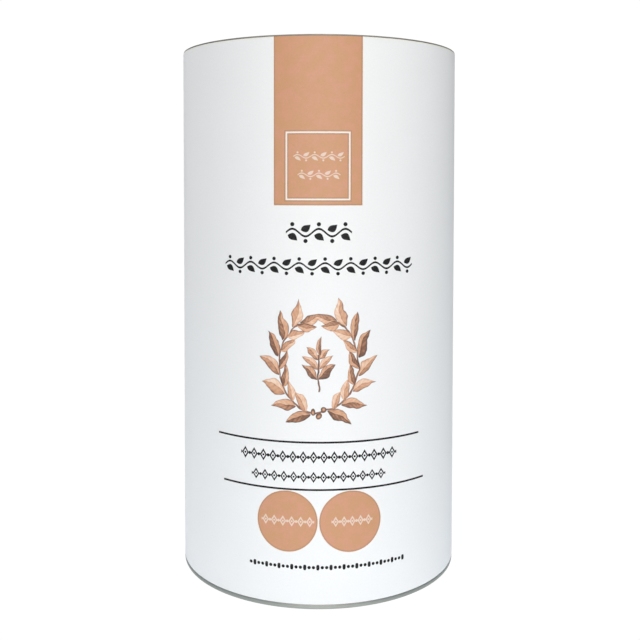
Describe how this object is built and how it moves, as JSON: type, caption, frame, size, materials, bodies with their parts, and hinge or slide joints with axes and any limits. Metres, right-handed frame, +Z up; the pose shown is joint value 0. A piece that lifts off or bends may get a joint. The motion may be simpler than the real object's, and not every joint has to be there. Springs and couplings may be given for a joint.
{
  "type": "cylindrical paperboard grow kit tube",
  "caption": "Tall round paperboard tube box for a mushroom grow kit, with a wrapped white and tan printed label, a recessed tinplate plug lid and a rolled tinplate base rim.",
  "frame": {"origin": "middle of the ring that the tube stands on, at the underside of its base rim", "axes": "+Z up along the tube's axis; the middle of the label's front faces -Y, and its lap runs down the back at +Y"},
  "size_m": [0.102, 0.1022, 0.1889],
  "materials": {
    "paperboard": "matte",
    "label_paper": "satin",
    "tinplate": "satin"
  },
  "bodies": {
    "root": {"tube": "paperboard", "label": "label_paper", "lid": "tinplate", "base": "tinplate"}
  },
  "joints": []
}
